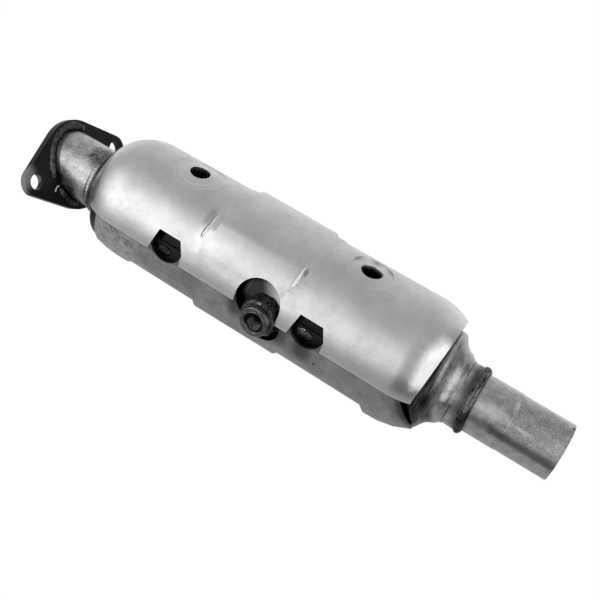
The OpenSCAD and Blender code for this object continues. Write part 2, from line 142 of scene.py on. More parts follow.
def cloud(tree, place, size_mm, detail=4, rough=0.55, twist=0):
    """Soft noise whose patches are about size_mm across."""
    node = tree.nodes.new("ShaderNodeTexNoise")
    tree.links.new(place, node.inputs["Vector"])
    node.inputs["Scale"].default_value = 1000/size_mm
    node.inputs["Detail"].default_value = detail
    node.inputs["Roughness"].default_value = rough
    node.inputs["Distortion"].default_value = twist
    return node.outputs["Fac"]


def steps(tree, value, stops):
    """Turns a value into a grey by stops of (place, grey)."""
    node = tree.nodes.new("ShaderNodeValToRGB")
    tree.links.new(value, node.inputs["Fac"])
    ends = node.color_ramp.elements
    while len(ends) < len(stops):
        ends.new(0.5)
    for end, (place, tone) in zip(ends, stops):
        end.position = place
        end.color = (tone, tone, tone, 1)
    return node.outputs["Color"]


def blend(tree, share, low, high):
    """Mixes two colours, the low one at a share of 0 and the high one at 1."""
    node = tree.nodes.new("ShaderNodeMix")
    node.data_type = "RGBA"
    fill(tree, node.inputs["Factor"], share)
    fill(tree, node.inputs[6], low)
    fill(tree, node.inputs[7], high)
    return node.outputs[2]


def sums(tree, kind, first, second):
    node = tree.nodes.new("ShaderNodeMath")
    node.operation = kind
    node.use_clamp = kind in ("MULTIPLY", "ADD", "SUBTRACT")
    fill(tree, node.inputs[0], first)
    fill(tree, node.inputs[1], second)
    return node.outputs["Value"]


def both(tree, first, second):
    """Where two marks meet, or a mark at a share of its strength."""
    return sums(tree, "MULTIPLY", first, second)


def outside(tree, mark):
    """1 where a mark is not, 0 on it."""
    return sums(tree, "SUBTRACT", 1.0, mark)


def stain(tree, tone, mark, share, colour):
    """Lays a colour over a tone on a mark, at a share of its full strength."""
    return blend(tree, both(tree, mark, share), tone, colour)


def eased(tree, value, low, high):
    """0 at low, 1 at high, with a soft start and end."""
    node = tree.nodes.new("ShaderNodeMapRange")
    node.interpolation_type = "SMOOTHSTEP"
    tree.links.new(value, node.inputs["Value"])
    node.inputs["From Min"].default_value = low
    node.inputs["From Max"].default_value = high
    return node.outputs["Result"]


def near(tree, place, centre_mm, reach_mm, soft_mm, flat=(1, 1, 1)):
    """1 round a place on the object, fading to 0 over soft_mm."""
    node = tree.nodes.new("ShaderNodeVectorMath")
    node.operation = "DISTANCE"
    tree.links.new(stretched(tree, place, flat), node.inputs[0])
    node.inputs[1].default_value = [c*MM*f for c, f in zip(centre_mm, flat)]
    fade = eased(tree, node.outputs["Value"], reach_mm*MM, (reach_mm + soft_mm)*MM)
    return outside(tree, fade)


def along(tree, place, axis, low_mm, high_mm):
    """0 before low_mm and 1 past high_mm along one axis of the object."""
    node = tree.nodes.new("ShaderNodeSeparateXYZ")
    tree.links.new(place, node.inputs["Vector"])
    return eased(tree, node.outputs[axis], low_mm*MM, high_mm*MM)


def past_plane(tree, place, normal, low_mm, high_mm):
    """0 before a leaning plane and 1 past it, the places given along its normal."""
    slant = tree.nodes.new("ShaderNodeVectorMath")
    slant.operation = "DOT_PRODUCT"
    tree.links.new(place, slant.inputs[0])
    slant.inputs[1].default_value = normal
    return eased(tree, slant.outputs["Value"], low_mm*MM, high_mm*MM)


def spots(tree, place, centres, reach_mm, soft_mm, flat=(1, 1, 1)):
    """1 round each of several places, so that a row of them makes a line."""
    mark = near(tree, place, centres[0], reach_mm, soft_mm, flat)
    for centre in centres[1:]:
        mark = sums(tree, "MAXIMUM", mark, near(tree, place, centre, reach_mm, soft_mm, flat))
    return mark


def relief(tree, shader, heights):
    """Bumps laid one over the other, each of (height, depth in mm, strength)."""
    last = None
    for height, depth_mm, strength in heights:
        node = tree.nodes.new("ShaderNodeBump")
        tree.links.new(height, node.inputs["Height"])
        node.inputs["Distance"].default_value = depth_mm*MM
        node.inputs["Strength"].default_value = strength
        if last:
            tree.links.new(last, node.inputs["Normal"])
        last = node.outputs["Normal"]
    tree.links.new(last, shader.inputs["Normal"])


def metal(shader):
    shader.inputs["Metallic"].default_value = 1


# Finishes

def satin_black():
    """The flange: satin black, worn to lighter metal in patches, with painted highlights along its top,
    on its lower rim and in a bolt hole, and a painted glint on a curl of spatter.
    """
    material, tree, shader, place = new_material("satin_black_plate")
    grain = cloud(tree, place, 1.2, 6)
    patch = cloud(tree, place, 14, 4)
    worn = steps(tree, cloud(tree, place, 4, 8, 0.7), [(0.58, 0.0), (0.72, 1.0)])
    base = blend(tree, patch, 0.0025, (0.007, 0.007, 0.0072))
    base = stain(tree, base, worn, 0.35, 0.035)
    # Painted highlight: the plate's colour is lightened towards its top.
    top = along(tree, place, "Z", 22, 42)
    base = stain(tree, base, top, 0.5, 0.035)
    # Painted highlight on the plate's lower rim.
    painted_rim_highlight = near(tree, place, (-3.4, -71.1, 2.9), 5, 7, (1, 0.6, 0.45))
    base = stain(tree, base, painted_rim_highlight, 0.8, 0.26)
    # Painted highlight on the wall of a bolt hole.
    hole = near(tree, place, (-1.5, -50.6, -1.2), 2.6, 1.6, (0.7, 1.6, 0.5))
    base = stain(tree, base, hole, 0.8, 0.20)
    # A curl of spatter, drawn only as a painted glint on the plate.
    curl_line = ((12.2, -32.4, -11), (12.4, -34, -10.8), (12.6, -35.6, -11.4), (13, -37, -12.6),
                 (13.3, -38.2, -13.8))
    painted_curl_glint = spots(tree, place, curl_line, 0.6, 0.7)
    base = blend(tree, painted_curl_glint, base, (0.75, 0.75, 0.74))
    fill(tree, shader.inputs["Base Color"], base)
    fill(tree, shader.inputs["Roughness"], steps(tree, patch, [(0.3, 0.28), (0.7, 0.46)]))
    shader.inputs["Specular IOR Level"].default_value = 0.32
    relief(tree, shader, [(patch, 0.25, 0.5), (grain, 0.05, 0.6)])
    return material


def mill_steel(name, dark, light, grain_mm=0.9, speckle=0.55):
    """Bare pipe steel as rolled: mottled, with short marks along the pipe."""
    material, tree, shader, place = new_material(name)
    metal(shader)
    patch = cloud(tree, place, 9, 6, 0.6)
    speck = cloud(tree, place, grain_mm, 3, 0.6)
    drawn = cloud(tree, stretched(tree, place, (0.12, 1, 1)), 1.4, 5, 0.6)
    tone = blend(tree, steps(tree, patch, [(0.34, 0.0), (0.66, 1.0)]), dark, light)
    tone = blend(tree, steps(tree, speck, [(0.36, speckle), (0.56, 0.0)]), tone,
                 tuple(c*0.55 for c in dark))
    tone = blend(tree, steps(tree, drawn, [(0.52, 0.0), (0.75, 0.5)]), tone,
                 tuple(min(c*1.3, 0.95) for c in light))
    return material, tree, shader, place, tone, patch, speck, drawn


def inlet_soot_and_shade(tree, place, tone):
    """Soot where the inlet pipe runs in under the shield, painted shade inside the shield and on the
    underside, and darker towards the flange.
    """
    spot = near(tree, place, (30.5, -12.5, 29), 2.2, 1.8)
    smear = near(tree, place, (42, -7, 31), 8, 9, (0.8, 0.9, 1))
    soot = sums(tree, "MAXIMUM", both(tree, spot, 0.92), both(tree, smear, 0.85))
    soot = both(tree, soot, steps(tree, cloud(tree, place, 3, 6), [(0.36, 0.45), (0.54, 1.0)]))
    tone = blend(tree, soot, tone, 0.07)
    # Painted shade where the pipe goes in under the shield.
    painted_gap_shade = along(tree, place, "X", 48.5, 51)
    tone = stain(tree, tone, painted_gap_shade, 0.85, 0.03)
    # Painted shade on the pipe's underside.
    under = outside(tree, along(tree, place, "Z", -10, 8))
    tone = stain(tree, tone, under, 0.5, 0.13)
    root = outside(tree, along(tree, place, "X", -14, 11))
    return stain(tree, tone, root, 0.6, 0.12)


def inlet_steel():
    """The inlet pipe: pitted, with a dark joint at the flange."""
    made = mill_steel("inlet_pipe_mill_steel", (0.38, 0.38, 0.375), (0.82, 0.82, 0.81))
    material, tree, shader, place, tone, patch, speck, drawn = made
    pitted = steps(tree, cloud(tree, place, 2.2, 7, 0.75), [(0.34, 0.6), (0.47, 0.0)])
    tone = blend(tree, pitted, tone, (0.18, 0.18, 0.178))
    joint = outside(tree, past_plane(tree, place, (0.865, 0, 0.5), 10.4, 13))
    tone = stain(tree, tone, joint, 0.85, 0.03)
    fill(tree, shader.inputs["Base Color"], inlet_soot_and_shade(tree, place, tone))
    fill(tree, shader.inputs["Roughness"], steps(tree, patch, [(0.3, 0.24), (0.7, 0.38)]))
    relief(tree, shader, [(patch, 0.4, 0.5), (pitted, 0.12, 0.5), (speck, 0.10, 0.7), (drawn, 0.08, 0.6)])
    return material


def outlet_steel():
    """The outlet pipe: pecked on its sized end, with painted highlights and a painted dark reflection,
    burnt at its weld.
    """
    made = mill_steel("outlet_pipe_mill_steel", (0.42, 0.42, 0.415), (0.66, 0.66, 0.655))
    material, tree, shader, place, tone, patch, speck, drawn = made
    sized = along(tree, place, "X", 507.5, 508.5)
    fine = cloud(tree, place, 1.1, 4, 0.7)
    pecked = steps(tree, fine, [(0.40, 0.8), (0.56, 0.0)])
    zone = near(tree, place, (545, -19, 20), 15, 16, (0.45, 1, 1))
    tone = blend(tree, both(tree, both(tree, sized, zone), pecked), tone, 0.20)
    # Painted highlights where the pipe catches the light.
    highlights = (((506.4, -10, 27.2), 1.6, 3.6, (1.7, 0.6, 0.6), 0.75),
                  ((520, -23.6, 16.4), 0.5, 1.8, (0.14, 1, 1), 0.4),
                  ((489, -22.9, 17.8), 3, 5, (0.35, 1, 1), 0.55))
    for centre, reach, soft, flat, share in highlights:
        light = both(tree, near(tree, place, centre, reach, soft, flat),
                     steps(tree, patch, [(0.34, 0.5), (0.56, 1.0)]))
        tone = blend(tree, both(tree, light, share), tone, 0.97)
    # Painted dark reflection: a dark band along the pipe's near side.
    painted_dark_reflection = both(tree, near(tree, place, (0, -28.6, 3), 1.5, 5, (0, 1, 1)),
                along(tree, place, "X", 484, 500))
    tone = stain(tree, tone, painted_dark_reflection, 0.65, 0.10)
    burnt = outside(tree, past_plane(tree, place, (1, 0, 0.14), 471, 478))
    tone = stain(tree, tone, burnt, 0.8, 0.05)
    notch = near(tree, place, (558.5, 2.4, 28.5), 1.1, 1.0)
    tone = blend(tree, notch, tone, 0.04)
    fill(tree, shader.inputs["Base Color"], tone)
    rough = blend(tree, both(tree, sized, zone), steps(tree, patch, [(0.3, 0.22), (0.7, 0.34)]), 0.5)
    fill(tree, shader.inputs["Roughness"], rough)
    relief(tree, shader, [(patch, 0.3, 0.5), (speck, 0.07, 0.6), (drawn, 0.05, 0.6)])
    return material


def body_steel():
    """The body: marks from rolling its ends, painted shade under the shields' outlet edge, in the windows
    and at the neck crease, and scorch with painted shade round the bung.
    """
    made = mill_steel("body_mill_steel", (0.33, 0.33, 0.325), (0.60, 0.60, 0.59), 1.3, 0.15)
    material, tree, shader, place, tone, patch, speck, drawn = made
    round_marks = cloud(tree, stretched(tree, place, (1, 0.1, 0.1)), 1.6, 5, 0.65)
    tone = blend(tree, steps(tree, round_marks, [(0.50, 0.0), (0.66, 0.6)]), tone, 0.20)
    # Painted shade where the shield's edge overhangs the body.
    painted_shield_shade = outside(tree, past_plane(tree, place, (1, 0, 0.25), 439, 446))
    painted_shield_shade = both(tree, painted_shield_shade, steps(tree, round_marks, [(0.36, 0.78), (0.52, 1.0)]))
    tone = stain(tree, tone, painted_shield_shade, 0.95, 0.022)
    # Painted shade in the crease where the neck begins.
    line = both(tree, along(tree, place, "X", 453.6, 454.6),
                outside(tree, along(tree, place, "X", 455.2, 456.8)))
    tone = stain(tree, tone, line, 0.6, 0.06)
    burnt = past_plane(tree, place, (1, 0, 0.12), 458, 466)
    tone = stain(tree, tone, burnt, 0.85, 0.05)
    for x, side in WINDOW_MARKS:
        # Painted shade where the body shows through the shield's windows.
        black = near(tree, place, (x, side*46, 20), 17, 9)
        tone = stain(tree, tone, black, 0.93, 0.012)
    scorch = near(tree, place, (267, -48, 10), 20, 8)
    scorch = both(tree, scorch, steps(tree, cloud(tree, place, 6, 5), [(0.36, 0.85), (0.6, 1.0)]))
    # Scorch round the bung, with painted shade that deepens towards the inlet side and below.
    scorch_and_shade_tone = blend(tree, past_plane(tree, place, (0.8, 0, 0.6), 217, 235), 0.028,
                        blend(tree, patch, (0.30, 0.30, 0.296), (0.55, 0.55, 0.543)))
    tone = stain(tree, tone, scorch, 0.95, scorch_and_shade_tone)
    fill(tree, shader.inputs["Base Color"], tone)
    fill(tree, shader.inputs["Roughness"], steps(tree, patch, [(0.3, 0.20), (0.7, 0.32)]))
    relief(tree, shader, [(patch, 0.5, 0.45), (round_marks, 0.12, 0.5), (speck, 0.03, 0.4)])
    return material


def beads_of_spatter(tree, place):
    """Small round beads, with painted glints where a soft noise picks them."""
    node = tree.nodes.new("ShaderNodeTexVoronoi")
    tree.links.new(place, node.inputs["Vector"])
    node.inputs["Scale"].default_value = 420
    bead = steps(tree, node.outputs["Distance"], [(0.18, 1.0), (0.34, 0.0)])
    picked = steps(tree, cloud(tree, place, 4, 2), [(0.47, 0.0), (0.55, 1.0)])
    return bead, both(tree, bead, picked)


def bright_sheet():
    """The upper shield: satin sheet, with soft rings round the dishes, black cups with painted glints, a
    painted highlight on its lip and painted shade at the step and the dart.
    """
    material, tree, shader, place = new_material("upper_shield_satin_sheet")
    metal(shader)
    patch = cloud(tree, place, 30, 5)
    haze = cloud(tree, place, 7, 5, 0.6)
    grain = cloud(tree, place, 1.1, 4, 0.6)
    tone = blend(tree, steps(tree, patch, [(0.35, 0.0), (0.65, 1.0)]), 0.69, 0.80)
    tone = blend(tree, steps(tree, haze, [(0.50, 0.0), (0.72, 0.4)]), tone, 0.58)
    # Painted highlight along the shield's rolled lower lip.
    painted_lip_highlight = outside(tree, along(tree, place, "Z", 4.6, 6.2))
    tone = stain(tree, tone, painted_lip_highlight, 0.5, 0.95)
    # Painted shade before the front step of the raised crown.
    painted_step_shade = near(tree, place, (182.5, -38, 54.5), 1.5, 4.5, (1, 0.36, 0.36))
    tone = stain(tree, tone, painted_step_shade, 0.5, 0.34)
    # Painted shade on the side of the dart that faces away from the light.
    painted_dart_foot_shade = near(tree, place, (287.8, -38.5, 55.5), 0.8, 2.0, (1, 0.5, 0.5))
    tone = stain(tree, tone, painted_dart_foot_shade, 0.75, 0.20)
    step_places = ((187.6, -35, 58.5), (187.4, -39, 56), (187, -43, 53), (186.4, -46.5, 48.5),
                   (185.8, -49, 44.5))
    step_line = spots(tree, place, step_places, 0.6, 1.4, (1, 0.3, 0.3))
    dish = None
    for x in CUP_PLACES:
        for rim, soft in ((22.6, 4.4), (17.8, 4.0)):
            ring = both(tree, near(tree, place, (x/MM, 0, 0), rim, soft, (1, 1, 0)), 0.5)
            dish = ring if dish is None else sums(tree, "ADD", dish, ring)
    dish = outside(tree, dish)
    # Painted glints on the weld inside each cup.
    bright = beads_of_spatter(tree, place)[1]
    for x in CUP_PLACES:
        cup = near(tree, place, (x/MM, 0, 0), 9.4, 0.9, (1, 1, 0))
        tone = blend(tree, cup, tone, stain(tree, 0.012, bright, 0.6, 0.8))
    fill(tree, shader.inputs["Base Color"], tone)
    rough = blend(tree, haze, 0.29, 0.42)
    rough = blend(tree, along(tree, place, "X", 392, 412), rough, 0.23)
    fill(tree, shader.inputs["Roughness"], rough)
    relief(tree, shader, [(patch, 1.2, 0.35), (haze, 0.22, 0.4), (grain, 0.03, 0.4), (dish, 1.5, 0.6),
                          (step_line, 0.9, 1.0)])
    return material


def crease_highlight_sheet():
    """The sheet where it is drawn out over the dart, painted brighter than the rest of the shield as a
    highlight.
    """
    material, tree, shader, place = new_material("upper_shield_crease_highlight")
    metal(shader)
    haze = cloud(tree, place, 3, 4, 0.6)
    # Painted highlight: paler than the shield's own sheet.
    fill(tree, shader.inputs["Base Color"], blend(tree, haze, 0.86, 0.97))
    fill(tree, shader.inputs["Roughness"], steps(tree, haze, [(0.3, 0.13), (0.7, 0.20)]))
    relief(tree, shader, [(haze, 0.1, 0.4)])
    return material


def grey_sheet():
    """The lower shield: dull sheet, paler at the inlet, with painted shade under the upper shield's lip,
    beside the bung, by the rear window, in the window pockets and at its outlet rim.
    """
    material, tree, shader, place = new_material("lower_shield_dull_sheet")
    metal(shader)
    patch = cloud(tree, place, 22, 6, 0.62, 0.4)
    blot = cloud(tree, place, 5, 6, 0.7)
    grain = cloud(tree, place, 1.0, 4, 0.6)
    tone = blend(tree, steps(tree, patch, [(0.36, 0.0), (0.64, 1.0)]), 0.33, 0.48)
    tone = blend(tree, steps(tree, blot, [(0.50, 0.0), (0.72, 0.5)]), tone, 0.20)
    pale = outside(tree, along(tree, place, "X", 112, 150))
    tone = blend(tree, both(tree, pale, steps(tree, blot, [(0.40, 0.75), (0.60, 0.15)])), tone, 0.74)
    # Painted shadow under the upper shield's lip.
    painted_lap_shadow = along(tree, place, "Z", 0.8, 3.4)
    tone = stain(tree, tone, painted_lap_shadow, 0.6, 0.10)
    pit = near(tree, place, (331.1, -58.3, -14.1), 0.8, 0.9)
    tone = blend(tree, pit, tone, 0.02)
    smudge = spots(tree, place, ((99, -58, 0), (108, -58.6, -2), (117, -59, -6)), 2.5, 7)
    broken = steps(tree, cloud(tree, place, 6, 4, 0.6, 3.0), [(0.44, 0.0), (0.56, 1.0)])
    smudge = both(tree, smudge, broken)
    tone = stain(tree, tone, smudge, 0.6, 0.14)
    # Painted shade beside the bung's cut-out and by the rear window.
    painted_shade_places = (((243, -60, 0), 3, 13), ((289, -60, -4), 4, 14), ((316, -59.5, -6), 3, 14))
    for centre, reach, soft in painted_shade_places:
        burnt = near(tree, place, centre, reach, soft, (1, 1, 0.7))
        tone = stain(tree, tone, burnt, 0.75, 0.05)
    # Painted shade in the pockets where the tabs are pressed in under the windows.
    floor = near(tree, place, (0, 0, 0), 57.4, 1.2, (0, 1, 1))
    for x, side in WINDOW_MARKS:
        tab = both(tree, near(tree, place, (x, side*53, 4), 17, 6), floor)
        tone = stain(tree, tone, tab, 0.93, 0.018)
    shade = near(tree, place, (430, -50, -6), 8, 16)
    tone = stain(tree, tone, shade, 0.75, 0.06)
    # Painted shade along the outlet rim, under the upper shield's corner.
    edge = past_plane(tree, place, RIM_NORMAL, RIM_PLACE - 7, RIM_PLACE - 2)
    tone = stain(tree, tone, edge, 0.7, 0.07)
    fill(tree, shader.inputs["Base Color"], tone)
    fill(tree, shader.inputs["Roughness"], blend(tree, patch, 0.40, 0.56))
    relief(tree, shader, [(patch, 0.8, 0.35), (blot, 0.12, 0.5), (grain, 0.04, 0.4)])
    return material


def weld_metal(name, dark, light, rough=0.36):
    """Weld metal: patches of dark and lighter scale, with dark specks."""
    material, tree, shader, place = new_material(name)
    metal(shader)
    patch = cloud(tree, place, 6, 5, 0.6)
    speck = cloud(tree, place, 1.1, 5, 0.65)
    tone = blend(tree, steps(tree, patch, [(0.38, 0.0), (0.66, 1.0)]), dark, light)
    tone = blend(tree, steps(tree, speck, [(0.30, 0.7), (0.46, 0.0)]), tone, tuple(c*0.3 for c in dark))
    return material, tree, shader, place, tone, patch, speck, rough


def finish_weld(made, tone, heights=()):
    material, tree, shader, place, _, patch, speck, rough = made
    fill(tree, shader.inputs["Base Color"], tone)
    fill(tree, shader.inputs["Roughness"], blend(tree, speck, rough - 0.08, rough + 0.14))
    relief(tree, shader, [(patch, 0.4, 0.5), (speck, 0.15, 0.7), *heights])
    return material


def flange_weld_scale():
    made = weld_metal("flange_weld_sooty_beads", (0.05, 0.05, 0.049), (0.22, 0.22, 0.217), 0.30)
    tree, place, tone = made[1], made[3], made[4]
    fleck = steps(tree, cloud(tree, place, 1.6, 5, 0.7), [(0.50, 0.0), (0.62, 1.0)])
    mid = outside(tree, along(tree, place, "Z", 14, 28))
    tone = blend(tree, both(tree, fleck, both(tree, mid, 0.7)), tone,
                 (0.52, 0.52, 0.515))
    top = along(tree, place, "Z", 18, 34)
    tone = stain(tree, tone, top, 0.5, 0.05)
    low = outside(tree, along(tree, place, "Z", -22, -10))
    tone = stain(tree, tone, low, 0.7, 0.035)
    joint = near(tree, place, (0, 0, 0), INLET_R/MM + 0.7, 0.7, (0, 1, 1))
    tone = stain(tree, tone, joint, 0.9, 0.012)
    return finish_weld(made, tone, [(fleck, 0.4, 0.8)])


def inlet_ring_steel():
    made = weld_metal("inlet_ring_weld_steel", (0.30, 0.30, 0.295), (0.58, 0.58, 0.57), 0.34)
    return finish_weld(made, inlet_soot_and_shade(made[1], made[3], made[4]))


def outlet_ring_scale():
    made = weld_metal("outlet_ring_weld_burnt", (0.035, 0.035, 0.034), (0.16, 0.16, 0.157), 0.30)
    tree, place, tone = made[1], made[3], made[4]
    round_lines = cloud(tree, stretched(tree, place, (1, 0.08, 0.08)), 1.1, 5, 0.7)
    lines = steps(tree, round_lines, [(0.50, 0.0), (0.60, 0.8)])
    tone = blend(tree, both(tree, lines, along(tree, place, "Z", 0, 10)), tone, (0.36, 0.36, 0.355))
    low = outside(tree, along(tree, place, "Z", -4, 12))
    tone = stain(tree, tone, low, 0.8, 0.02)
    return finish_weld(made, tone, [(round_lines, 0.6, 0.9)])


def bung_weld_scale():
    made = weld_metal("bung_weld_scaled", (0.025, 0.025, 0.024), (0.13, 0.13, 0.127), 0.24)
    tree, place, tone = made[1], made[3], made[4]
    twist = cloud(tree, place, 3, 4, 0.6, 2.0)
    thin = sums(tree, "SUBTRACT", steps(tree, twist, [(0.44, 0.0), (0.48, 1.0)]),
                steps(tree, twist, [(0.52, 0.0), (0.56, 1.0)]))
    tone = stain(tree, tone, thin, 0.4, (0.34, 0.34, 0.335))
    # Painted glint along a ridge of the weld.
    squiggle_line = ((250.4, -60.5, 8.6), (252.6, -61, 11.6), (255, -61, 14), (258, -61.5, 16.4),
                     (261.5, -62, 17.4), (264, -62, 17.6))
    painted_squiggle_glint = spots(tree, place, squiggle_line, 1.2, 1.1)
    painted_squiggle_glint = sums(tree, "SUBTRACT", painted_squiggle_glint, near(tree, place, (259, -62.6, 16), 0.5, 0.9))
    tone = stain(tree, tone, painted_squiggle_glint, 0.9, (0.85, 0.85, 0.84))
    # A curl of spatter, drawn only as a painted glint.
    curl_line = ((272, -57, 17.2), (275, -57.3, 16), (277.6, -57.8, 14.2), (279.6, -58.2, 11.8))
    painted_curl_glint = spots(tree, place, curl_line, 0.4, 0.8)
    tone = stain(tree, tone, painted_curl_glint, 0.8, (0.75, 0.75, 0.74))
    return finish_weld(made, tone, [(thin, 0.5, 0.8)])


def tack_scale():
    made = weld_metal("tack_weld_burnt", (0.03, 0.03, 0.029), (0.15, 0.15, 0.147), 0.32)
    tree, place, tone = made[1], made[3], made[4]
    lines = cloud(tree, place, 2.2, 5, 0.65, 1.5)
    tone = blend(tree, steps(tree, lines, [(0.52, 0.0), (0.62, 0.5)]), tone, (0.30, 0.30, 0.295))
    # Painted shade on the front tacks, which sit in the shade of their windows.
    front = outside(tree, along(tree, place, "X", 200, 240))
    tone = stain(tree, tone, front, 0.6, 0.03)
    seat = SEAT_R/MM
    for side in (-1, 1):
        # Painted highlight along the upper edge of each rear nugget.
        edge_line = [(x, side*seat, z) for x, z in ((303, 8.6), (305, 9.6), (307.5, 10.2), (310, 10.2))]
        edge = spots(tree, place, edge_line, 0.7, 0.7)
        tone = stain(tree, tone, edge, 0.9, (0.90, 0.90, 0.89))
    return finish_weld(made, tone, [(lines, 0.5, 0.8)])


def plug_scale():
    """The plug welds: black scale, with painted glints on small beads of spatter."""
    material, tree, shader, place = new_material("plug_weld_black_scale")
    metal(shader)
    bead, bright = beads_of_spatter(tree, place)
    fill(tree, shader.inputs["Base Color"], blend(tree, bright, 0.020, (0.85, 0.85, 0.84)))
    crust = cloud(tree, place, 2, 4)
    fill(tree, shader.inputs["Roughness"], steps(tree, crust, [(0.3, 0.18), (0.7, 0.42)]))
    relief(tree, shader, [(bead, 0.3, 0.8), (cloud(tree, place, 1.5, 5), 0.3, 0.8)])
    return material


def turned_steel():
    material, tree, shader, place = new_material("sensor_bung_turned_steel")
    metal(shader)
    patch = cloud(tree, place, 5, 5, 0.6)
    centre = tree.nodes.new("ShaderNodeMapping")
    tree.links.new(place, centre.inputs["Vector"])
    centre.inputs["Location"].default_value = (-BUNG_X, 0, 0)
    centre.inputs["Scale"].default_value = (1, 0.02, 1)
    rings = tree.nodes.new("ShaderNodeTexWave")
    tree.links.new(centre.outputs["Vector"], rings.inputs["Vector"])
    rings.wave_type = "RINGS"
    rings.rings_direction = "SPHERICAL"
    rings.inputs["Scale"].default_value = 420
    rings.inputs["Distortion"].default_value = 0.6
    tone = steps(tree, patch, [(0.36, 0.0), (0.66, 1.0)])
    tone = blend(tree, tone, (0.10, 0.10, 0.098), (0.24, 0.24, 0.236))
    wall = along(tree, place, "Y", -67.6, -66.4)
    tone = stain(tree, tone, wall, 0.85, 0.05)
    # Painted shade down the bore.
    painted_bore_shade = near(tree, place, (BUNG_X/MM, 0, 0), 9.3, 0.6, (1, 0, 1))
    tone = blend(tree, painted_bore_shade, tone, 0.012)
    # Painted glints on the thread's crests in the lower part of the bore.
    painted_thread_glint = both(tree, near(tree, place, (BUNG_X/MM, 0, 0), 8.28, 0.2, (1, 0, 1)),
                 outside(tree, past_plane(tree, place, (0.15, 0, 0.99), 32.6, 36.4)))
    painted_thread_glint = both(tree, painted_thread_glint, outside(tree, along(tree, place, "Y", -60, -54)))
    painted_thread_glint = both(tree, painted_thread_glint, steps(tree, cloud(tree, place, 2.2, 4), [(0.40, 0.25), (0.56, 1.0)]))
    tone = stain(tree, tone, painted_thread_glint, 0.7, (0.60, 0.60, 0.59))
    fill(tree, shader.inputs["Base Color"], tone)
    fill(tree, shader.inputs["Roughness"], steps(tree, patch, [(0.3, 0.24), (0.7, 0.40)]))
    relief(tree, shader, [(patch, 0.15, 0.5), (rings.outputs["Fac"], 0.03, 0.5)])
    return material


def brick_ceramic():
    material, tree, shader, place = new_material("brick_cordierite_ceramic")
    grain = cloud(tree, place, 0.8, 5)
    patch = cloud(tree, place, 18, 4)
    tone = blend(tree, patch, (0.62, 0.55, 0.44), (0.80, 0.74, 0.64))
    tone = blend(tree, steps(tree, grain, [(0.55, 0.0), (0.75, 0.5)]), tone, (0.50, 0.43, 0.34))
    fill(tree, shader.inputs["Base Color"], tone)
    fill(tree, shader.inputs["Roughness"], steps(tree, grain, [(0.3, 0.75), (0.7, 0.95)]))
    relief(tree, shader, [(grain, 0.08, 0.7)])
    return material


def mat_fibre():
    material, tree, shader, place = new_material("mat_pressed_fibre")
    strands = cloud(tree, stretched(tree, place, (0.3, 1, 1)), 1.0, 6, 0.7, 1.5)
    tone = blend(tree, strands, (0.50, 0.46, 0.38), (0.78, 0.74, 0.66))
    fill(tree, shader.inputs["Base Color"], tone)
    fill(tree, shader.inputs["Roughness"], steps(tree, strands, [(0.3, 0.8), (0.7, 1.0)]))
    relief(tree, shader, [(strands, 0.2, 0.8)])
    return material


def seal_wire():
    material, tree, shader, place = new_material("edge_seal_knitted_wire")
    metal(shader)
    node = tree.nodes.new("ShaderNodeTexVoronoi")
    node.feature = "DISTANCE_TO_EDGE"
    tree.links.new(place, node.inputs["Vector"])
    node.inputs["Scale"].default_value = 900
    loops = steps(tree, node.outputs["Distance"], [(0.05, 1.0), (0.25, 0.0)])
    fill(tree, shader.inputs["Base Color"], blend(tree, loops, 0.12, (0.60, 0.60, 0.58)))
    fill(tree, shader.inputs["Roughness"], steps(tree, loops, [(0.2, 0.6), (0.8, 0.35)]))
    relief(tree, shader, [(loops, 0.15, 0.8)])
    return material


# Pieces

def finish_piece(bm, name, slot, material, *nodes):
    mesh = bpy.data.meshes.new(name)
    bm.to_mesh(mesh)
    bm.free()
    piece = bpy.data.objects.new(name, mesh)
    bpy.context.scene.collection.objects.link(piece)
    mesh.materials.append(material)
    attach(piece, "root")
    if nodes:
        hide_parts(*nodes)
    return piece


def smooth_faces(bm, sharp_deg):
    """Smooth shading, kept sharp where two faces meet at more than sharp_deg."""
    for face in bm.faces:
        face.smooth = True
    for edge in bm.edges:
        edge.smooth = len(edge.link_faces) == 2 and edge.calc_face_angle(0) < math.radians(sharp_deg)


def ease_dishes(bm):
    """Lifts the floors of the round dishes to the sheet, where the sheet's relief draws them soft."""
    for x, form_r in zip(CUP_PLACES, FORM_R):
        for v in bm.verts:
            reach = math.hypot(v.co.x - x, v.co.y)
            up = math.hypot(v.co.y, v.co.z - SHIELD_RISE)
            if v.co.z > SHIELD_TOP_Z and reach < DISH_R and form_r - DISH_DEPTH < up < form_r:
                v.co.z = SHIELD_RISE + math.sqrt(form_r**2 - v.co.y**2)
    bmesh.ops.remove_doubles(bm, verts=bm.verts, dist=DISH_MERGE)


def pressed_dart(material):
    """The short ridge that the press leaves at the outlet end of the raised middle, near side."""
    bm = bmesh.new()
    bmesh.ops.create_icosphere(bm, subdivisions=5, radius=1)
    for v in bm.verts:
        slim = 1 - 0.55*(v.co.y + 1)/2
        v.co = Vector((v.co.x*DART_HALF*slim, v.co.y*DART_LEN/2, v.co.z*DART_RISE))
    bmesh.ops.rotate(bm, verts=bm.verts, cent=(0, 0, 0), matrix=Matrix.Rotation(DART_LEAN, 3, "X"))
    bmesh.ops.translate(bm, verts=bm.verts, vec=DART_PLACE)
    bmesh.ops.recalc_face_normals(bm, faces=bm.faces)
    smooth_faces(bm, 80)
    return finish_piece(bm, "upper_shield_dart", "shield_bright", material)


